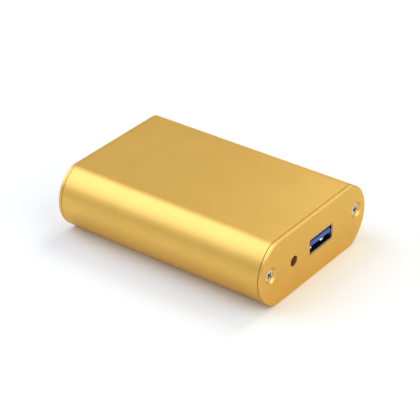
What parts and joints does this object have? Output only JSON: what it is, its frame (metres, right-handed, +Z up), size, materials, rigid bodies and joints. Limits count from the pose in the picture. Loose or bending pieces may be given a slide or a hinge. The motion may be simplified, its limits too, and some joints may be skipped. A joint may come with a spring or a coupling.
{
  "type": "video capture box",
  "caption": "Small gold metal box with curved sides that turns a video signal into computer data: a data socket and a lamp at one end, a video socket at the other.",
  "frame": {"origin": "centre of the base, on the surface that the box rests on", "axes": "+Z up, +Y along the tube from the data socket to the video socket, +X to the right when the data socket faces the viewer"},
  "size_m": [0.06, 0.085, 0.0236],
  "materials": {
    "anodised_gold": "bead-blasted and anodised gold, satin",
    "screw_steel": "nickel-plated steel",
    "socket_steel": "nickel-plated sheet, satin",
    "blue_plastic": "moulded, satin",
    "black_plastic": "moulded, satin",
    "contact_gold": "gold flash over copper alloy",
    "board_green": "glass-filled laminate with green coating",
    "red_lens": "tinted clear epoxy, unlit",
    "tinned_lead": "tinned",
    "chip_epoxy": "moulded, matte",
    "can_metal": "drawn metal, satin",
    "ferrite_grey": "sintered, matte",
    "ceramic_tan": "fired, matte",
    "resistor_black": "coated, gloss"
  },
  "bodies": {
    "case": {"case_tube": "anodised_gold"},
    "board": {"main_board": "board_green", "data_shell": "socket_steel", "data_insulator": "blue_plastic", "data_contacts_short": "contact_gold", "data_contacts_long": "contact_gold", "video_shell": "socket_steel", "video_insulator": "black_plastic", "video_contacts_upper": "contact_gold", "video_contacts_lower": "contact_gold", "status_lamp": "red_lens", "lamp_leads": "tinned_lead", "receiver_chip": "chip_epoxy", "receiver_leads": "tinned_lead", "controller_chip": "chip_epoxy", "memory_chip": "chip_epoxy", "memory_leads": "tinned_lead", "regulators": "chip_epoxy", "regulator_leads": "tinned_lead", "receiver_crystal": "can_metal", "controller_crystal": "can_metal", "power_inductors": "ferrite_grey", "reservoir_cans": "can_metal", "reservoir_bases": "black_plastic", "chip_capacitors": "ceramic_tan", "chip_resistors": "resistor_black"},
    "front_cover": {"front_plate": "anodised_gold"},
    "rear_cover": {"rear_plate": "anodised_gold"},
    "front_fixing_left": {"front_screw_left": "screw_steel"},
    "front_fixing_right": {"front_screw_right": "screw_steel"},
    "rear_fixing_left": {"rear_screw_left": "screw_steel"},
    "rear_fixing_right": {"rear_screw_right": "screw_steel"},
    "data_floor_springs": {"data_springs_lower": "socket_steel"},
    "data_roof_springs": {"data_springs_upper": "socket_steel"},
    "video_floor_springs": {"video_springs_lower": "socket_steel"},
    "video_roof_springs": {"video_springs_upper": "socket_steel"}
  },
  "joints": [
    {"name": "board_slide", "type": "slide", "parent": "case", "child": "board", "axis": [0, -1, 0], "range_m": [0, 0.09]},
    {"name": "front_cover_pull", "type": "slide", "parent": "board", "child": "front_cover", "axis": [0, -1, 0], "range_m": [0, 0.02]},
    {"name": "rear_cover_pull", "type": "slide", "parent": "case", "child": "rear_cover", "axis": [0, 1, 0], "range_m": [0, 0.02]},
    {"name": "front_fixing_left_draw", "type": "slide", "parent": "front_cover", "child": "front_fixing_left", "axis": [0, -1, 0], "range_m": [0, 0.012]},
    {"name": "front_fixing_right_draw", "type": "slide", "parent": "front_cover", "child": "front_fixing_right", "axis": [0, -1, 0], "range_m": [0, 0.012]},
    {"name": "rear_fixing_left_draw", "type": "slide", "parent": "rear_cover", "child": "rear_fixing_left", "axis": [0, 1, 0], "range_m": [0, 0.012]},
    {"name": "rear_fixing_right_draw", "type": "slide", "parent": "rear_cover", "child": "rear_fixing_right", "axis": [0, 1, 0], "range_m": [0, 0.012]},
    {"name": "data_floor_flex", "type": "hinge", "parent": "board", "child": "data_floor_springs", "pos_m": [0.0035, -0.0406, 0.00945], "axis": [1, 0, 0], "range_deg": [-5.5, 0], "stiffness_Nm_per_rad": 0.1},
    {"name": "data_roof_flex", "type": "hinge", "parent": "board", "child": "data_roof_springs", "pos_m": [0.0035, -0.0406, 0.01487], "axis": [1, 0, 0], "range_deg": [0, 5.5], "stiffness_Nm_per_rad": 0.1},
    {"name": "video_floor_flex", "type": "hinge", "parent": "board", "child": "video_floor_springs", "pos_m": [0, 0.0406, 0.00945], "axis": [1, 0, 0], "range_deg": [0, 5.5], "stiffness_Nm_per_rad": 0.1},
    {"name": "video_roof_flex", "type": "hinge", "parent": "board", "child": "video_roof_springs", "pos_m": [0, 0.0406, 0.0143], "axis": [1, 0, 0], "range_deg": [-5.5, 0], "stiffness_Nm_per_rad": 0.1}
  ]
}
